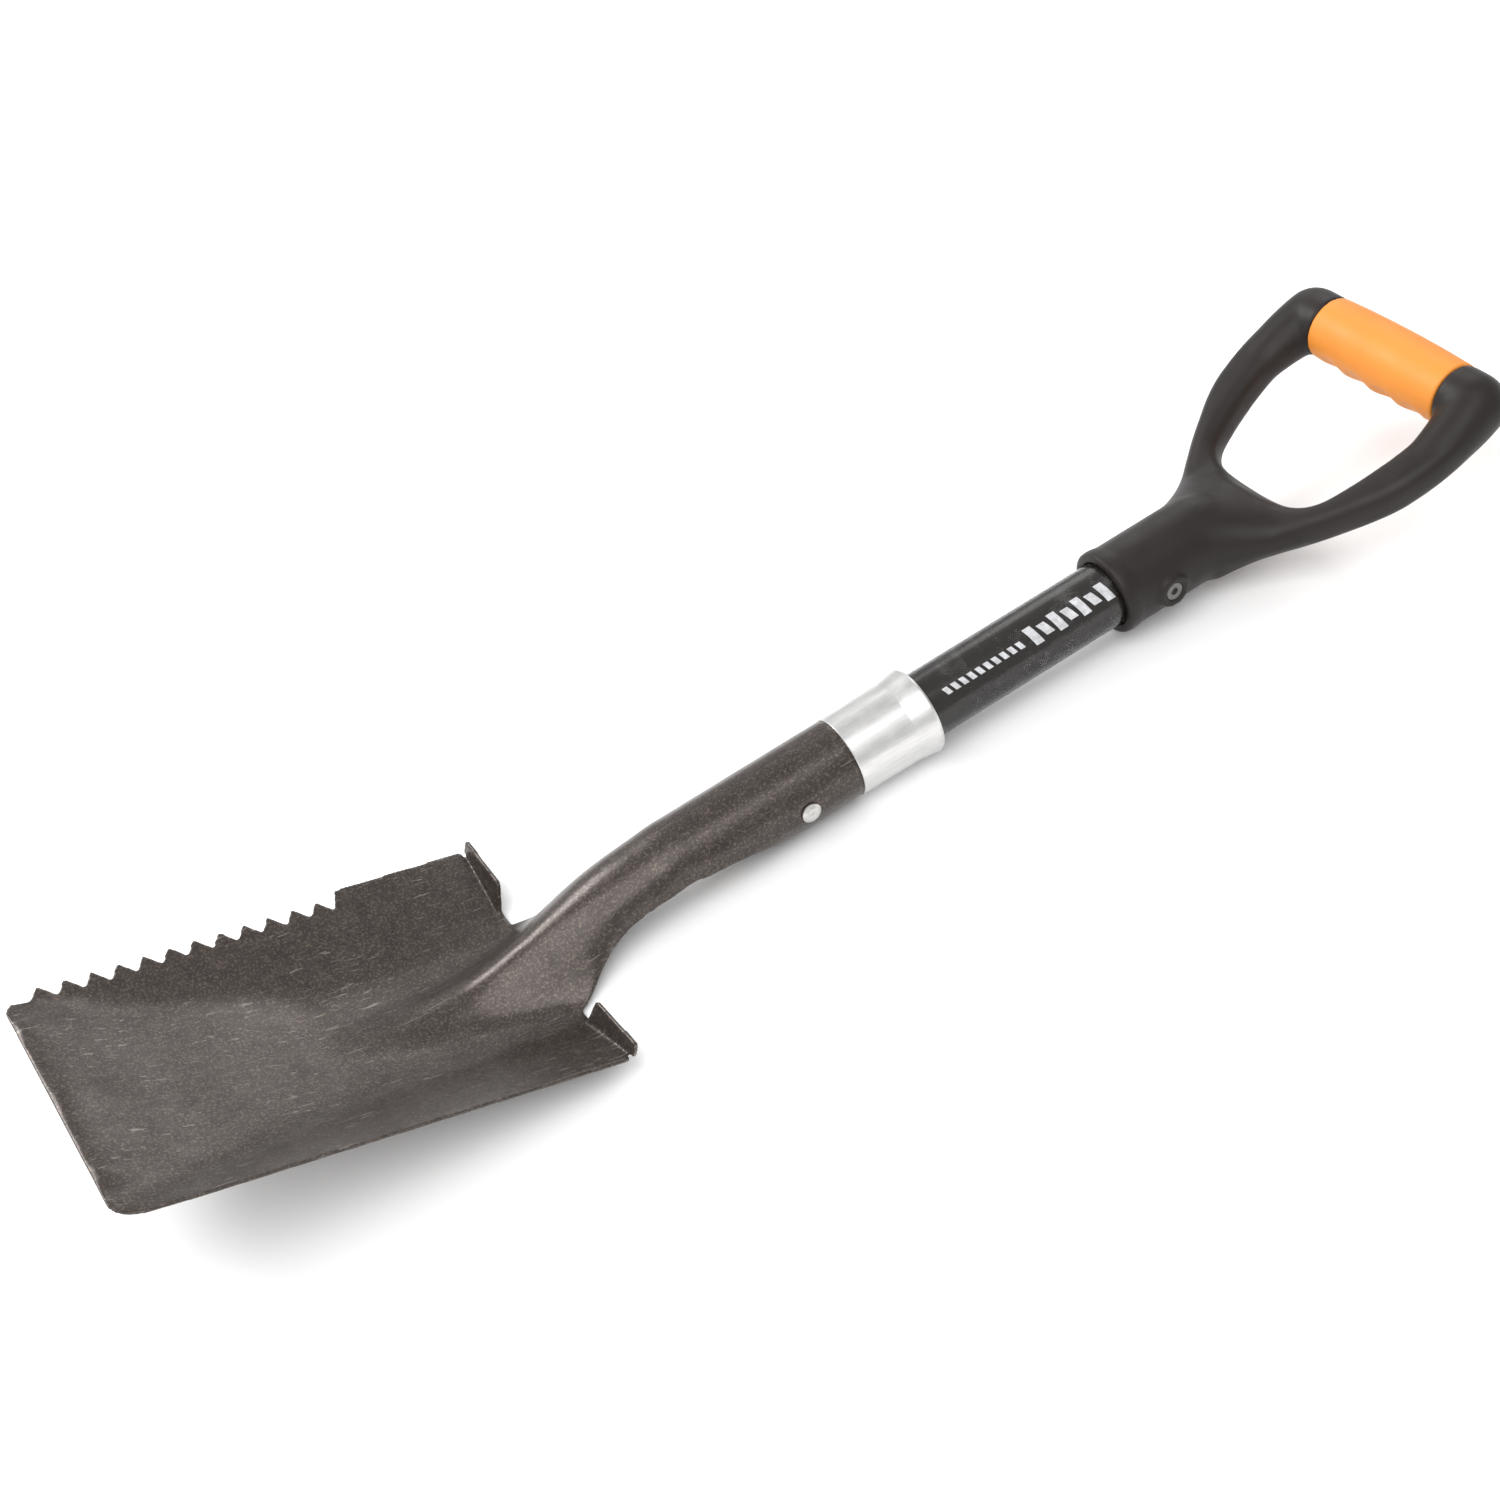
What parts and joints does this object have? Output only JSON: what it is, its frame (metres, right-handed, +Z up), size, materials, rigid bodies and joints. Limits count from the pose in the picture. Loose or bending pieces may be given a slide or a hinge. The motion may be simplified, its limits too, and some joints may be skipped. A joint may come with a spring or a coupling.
{
  "type": "detecting shovel",
  "caption": "Short square-mouth digging shovel with a serrated side edge, riveted socket, ferrule, fibre shaft and a D-grip, for metal detecting.",
  "frame": {"origin": "middle of the footprint at ground level, with the shovel lying face up on its heel and ferrule", "axes": "+X from the cutting edge to the D-grip, +Y towards the serrated side edge, +Z up, out of the digging face"},
  "size_m": [0.6836, 0.1532, 0.0778],
  "materials": {
    "blade_and_socket": "speckled grey-bronze lacquer on pressed steel, satin with worn, scratched areas",
    "ferrule_collar": "bright zinc plated",
    "label_sleeve": "clear shrink film with crinkled ends",
    "socket_rivet": "bare, set with a dimpled head",
    "d_handle_frame": "moulded, fine satin texture",
    "grip_sleeve": "soft touch overmould, yellow-orange",
    "shaft_tube": "glossy black glass-fibre",
    "shaft_core": "plain timber core",
    "handle_screw": "zinc plated",
    "handle_nut": "zinc plated"
  },
  "bodies": {
    "root": {"blade_and_socket": "blade_and_socket", "ferrule_collar": "ferrule_collar", "label_sleeve": "label_sleeve", "socket_rivet": "socket_rivet", "d_handle_frame": "d_handle_frame", "grip_sleeve": "grip_sleeve", "shaft_tube": "shaft_tube", "shaft_core": "shaft_core", "handle_screw": "handle_screw", "handle_nut": "handle_nut"}
  },
  "joints": []
}
